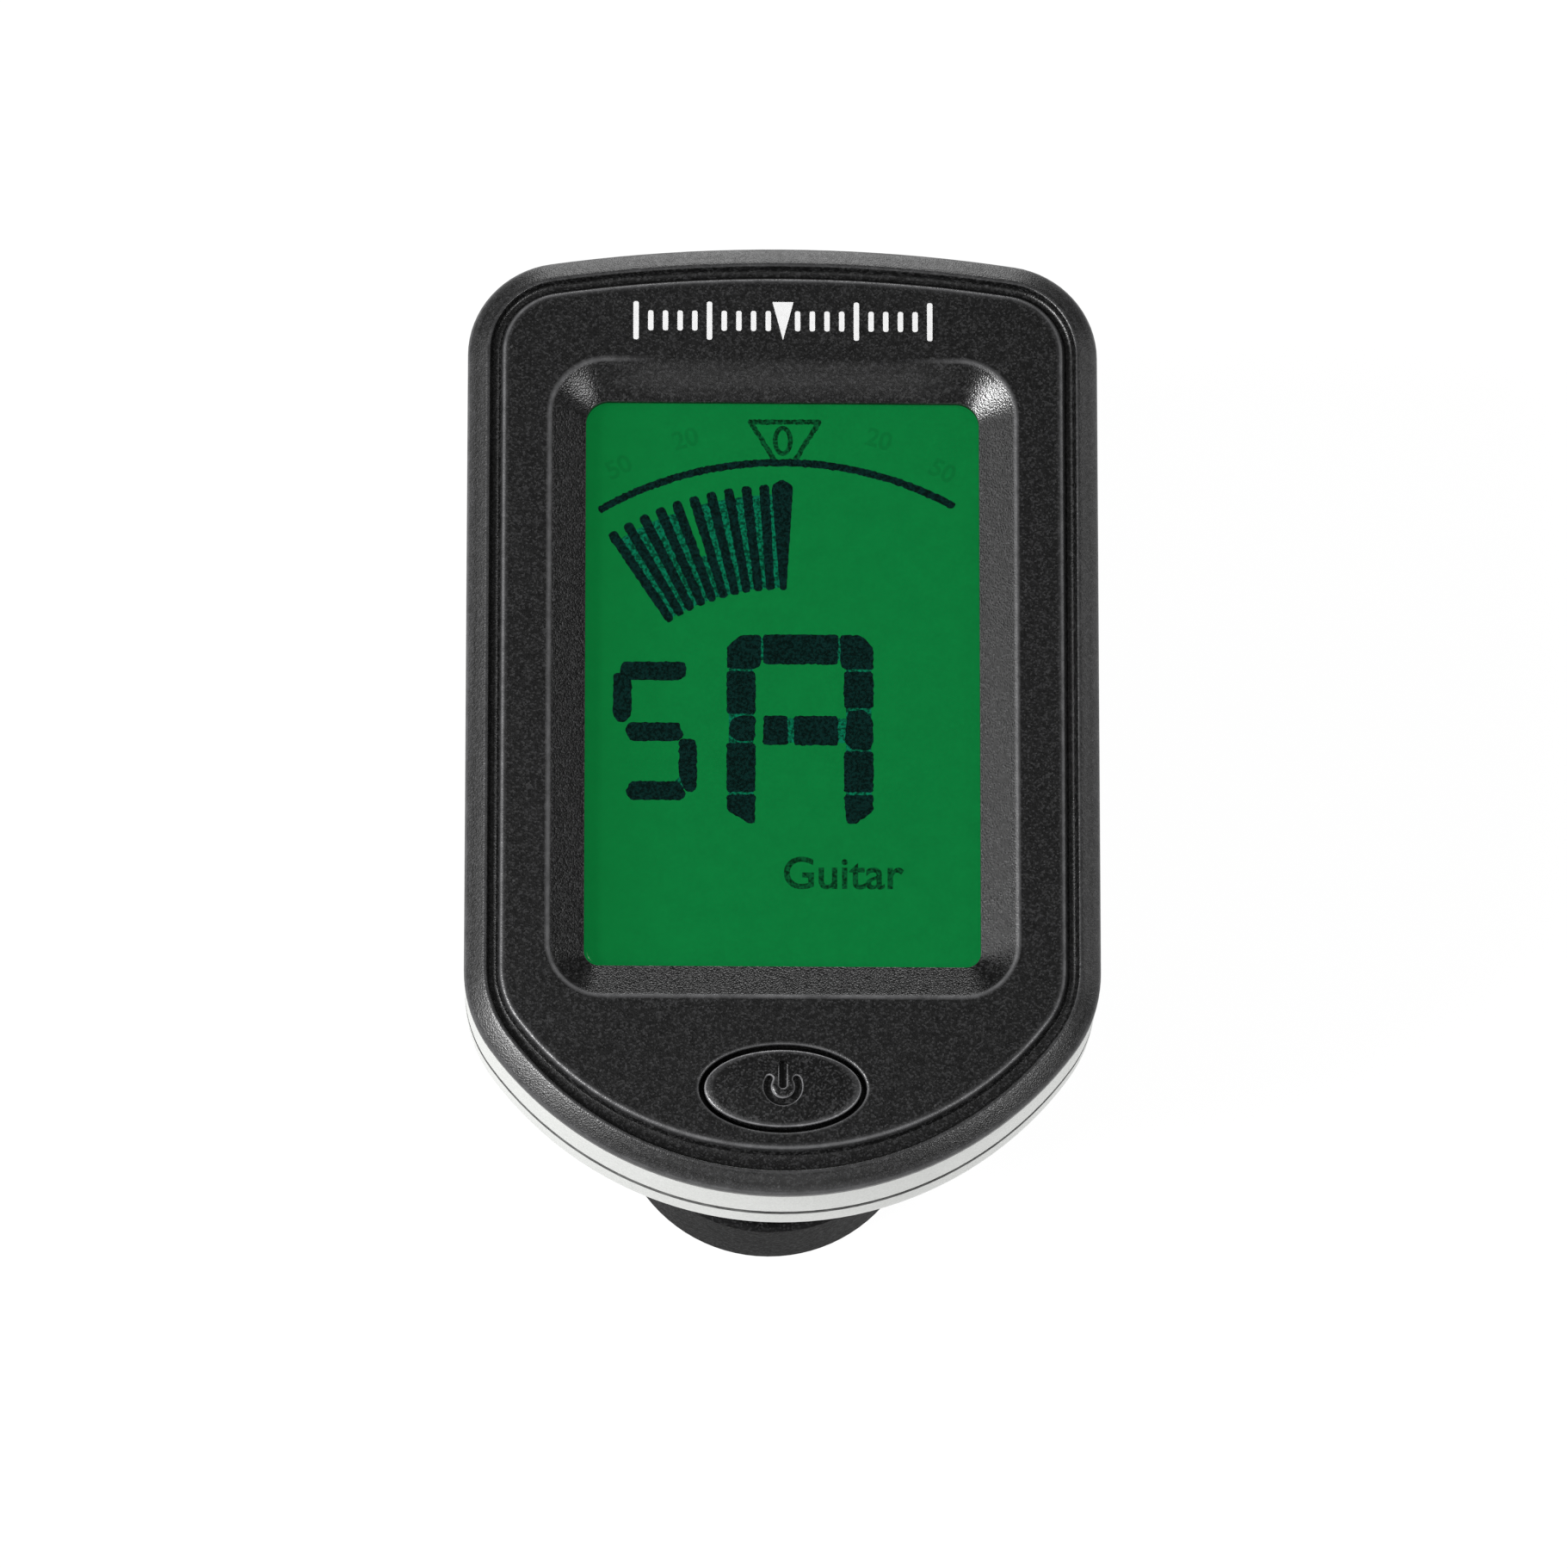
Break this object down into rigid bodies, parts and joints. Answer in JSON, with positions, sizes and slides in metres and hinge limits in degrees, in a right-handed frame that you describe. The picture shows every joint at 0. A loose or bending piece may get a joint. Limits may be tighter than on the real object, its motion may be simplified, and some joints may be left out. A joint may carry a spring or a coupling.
{
  "type": "clip-on instrument tuner",
  "caption": "Small display head on a tilting, swivelling arm with a sprung padded clamp, for clipping onto a guitar headstock.",
  "frame": {"origin": "on the surface that the clamp lies on, under the middle of the folded tuner's bounding box", "axes": "+Z out of the display face when folded, +Y from the head's rounded lower edge to its top edge, +X to the display's right"},
  "size_m": [0.03, 0.0464, 0.0325],
  "materials": {
    "black_shell": "fine spark-eroded matt black, edges slightly polished",
    "button_plastic": "satin black with a fine grain",
    "window": "clear, slightly matt hard-coated sheet",
    "lcd": "deep green transmissive display with dark segments",
    "diffuser": "milky white",
    "led": "clear lens over yellow phosphor",
    "elastomer": "matt layered silicone",
    "switch_stem": "matt red",
    "switch_case": "stamped steel lid",
    "board": "green solder mask",
    "chip": "matt black epoxy with tinned legs",
    "smd": "ceramic chips with tinned ends",
    "crystal_can": "drawn steel can",
    "piezo_brass": "brass disc with a silvered ceramic layer",
    "wire_red": "PVC insulation",
    "cell_steel": "stainless steel can",
    "contact_metal": "plated spring bronze",
    "silver_shell": "satin silver paint on moulded plastic",
    "screw_steel": "zinc plated",
    "black_clamp": "moulded nylon, matt black",
    "washer_brass": "plain brass",
    "pad_rubber": "matt black silicone rubber",
    "pin_steel": "ground steel",
    "spring_steel": "nickel plated music wire"
  },
  "bodies": {
    "lower_clamp": {"lower_jaw": "black_clamp", "lower_pad": "pad_rubber", "pivot_pin": "pin_steel", "torsion_spring": "spring_steel"},
    "upper_clamp": {"upper_jaw": "black_clamp", "upper_pad": "pad_rubber", "friction_washers": "washer_brass", "tilt_screw": "screw_steel", "tilt_nut": "screw_steel"},
    "neck_arm": {"neck": "black_clamp", "swivel_washer": "screw_steel", "swivel_screw": "screw_steel"},
    "head": {"front_cover": "black_shell", "display_window": "window", "lcd_panel": "lcd", "backlight_guide": "diffuser", "backlight_leds": "led", "zebra_connector": "elastomer", "tact_switch": "switch_case", "circuit_board": "board", "controller_chip": "chip", "smd_parts": "smd", "crystal": "crystal_can", "piezo_disc": "piezo_brass", "piezo_leads": "wire_red", "battery": "cell_steel", "battery_contact_positive": "contact_metal", "battery_contact_negative": "contact_metal", "mid_frame": "silver_shell", "rear_cover": "silver_shell", "housing_screws": "screw_steel"},
    "button": {"power_button": "button_plastic", "switch_plunger": "switch_stem"},
    "door": {"battery_door": "silver_shell"}
  },
  "joints": [
    {"name": "clamp_open", "type": "hinge", "parent": "lower_clamp", "child": "upper_clamp", "pos_m": [0, 0.006, 0.0081], "axis": [-1, 0, 0], "range_deg": [0, 40], "stiffness_Nm_per_rad": 0.25, "springref_deg": -28.65, "deforming": ["torsion_spring"]},
    {"name": "head_tilt", "type": "hinge", "parent": "upper_clamp", "child": "neck_arm", "pos_m": [0, -0.0155, 0.017], "axis": [1, 0, 0], "range_deg": [0, 90]},
    {"name": "head_swivel", "type": "hinge", "parent": "neck_arm", "child": "head", "pos_m": [0, -0.0085, 0.022], "axis": [0, 0, 1], "continuous": true},
    {"name": "power_press", "type": "slide", "parent": "head", "child": "button", "axis": [0, 0, -1], "range_m": [0, 0.0003], "stiffness_N_per_m": 1500},
    {"name": "door_turn", "type": "hinge", "parent": "head", "child": "door", "pos_m": [0, 0.0092, 0.022], "axis": [0, 0, 1], "range_deg": [0, 40]}
  ]
}
